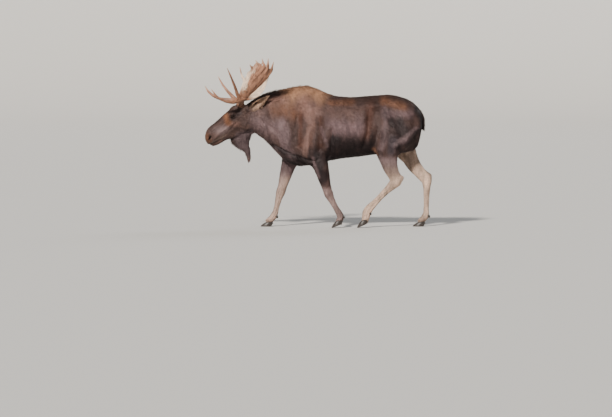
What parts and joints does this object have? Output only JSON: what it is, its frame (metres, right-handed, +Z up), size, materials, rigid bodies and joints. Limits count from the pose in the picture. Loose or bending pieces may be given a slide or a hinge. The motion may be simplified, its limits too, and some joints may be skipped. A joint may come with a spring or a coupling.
{
  "type": "bull moose",
  "caption": "Life-size bull moose standing still in mid-stride, head low, palmate antlers up, throat bell hanging.",
  "frame": {"origin": "on the floor, under the middle of the whole animal's bounding box", "axes": "-X is the way the moose faces, -Y is its left side, +Z is up"},
  "size_m": [2.827, 1.022, 2.0883],
  "materials": {
    "coat": "matte",
    "antler": "satin",
    "hoof": "satin",
    "eye": "gloss"
  },
  "bodies": {
    "root": {"antler_left_beam": "antler", "antler_left_lower_tine": "antler", "antler_left_palm": "antler", "antler_left_upper_tine": "antler", "antler_right_beam": "antler", "antler_right_lower_tine": "antler", "antler_right_palm": "antler", "antler_right_upper_tine": "antler", "barrel": "coat", "bell": "coat", "chest": "coat", "ear_left": "coat", "ear_right": "coat", "eye_left": "eye", "eye_right": "eye", "head": "coat", "hindquarters": "coat", "left_fore_cannon": "coat", "left_fore_claw_inner": "hoof", "left_fore_claw_outer": "hoof", "left_fore_dewclaw_left": "hoof", "left_fore_dewclaw_right": "hoof", "left_fore_foot": "coat", "left_fore_forearm": "coat", "left_hind_cannon": "coat", "left_hind_claw_inner": "hoof", "left_hind_claw_outer": "hoof", "left_hind_dewclaw_left": "hoof", "left_hind_dewclaw_right": "hoof", "left_hind_foot": "coat", "left_hind_gaskin": "coat", "lower_jaw": "coat", "muzzle": "coat", "neck": "coat", "right_fore_cannon": "coat", "right_fore_claw_inner": "hoof", "right_fore_claw_outer": "hoof", "right_fore_dewclaw_left": "hoof", "right_fore_dewclaw_right": "hoof", "right_fore_foot": "coat", "right_fore_forearm": "coat", "right_hind_cannon": "coat", "right_hind_claw_inner": "hoof", "right_hind_claw_outer": "hoof", "right_hind_dewclaw_left": "hoof", "right_hind_dewclaw_right": "hoof", "right_hind_foot": "coat", "right_hind_gaskin": "coat", "tail": "coat"}
  },
  "joints": []
}
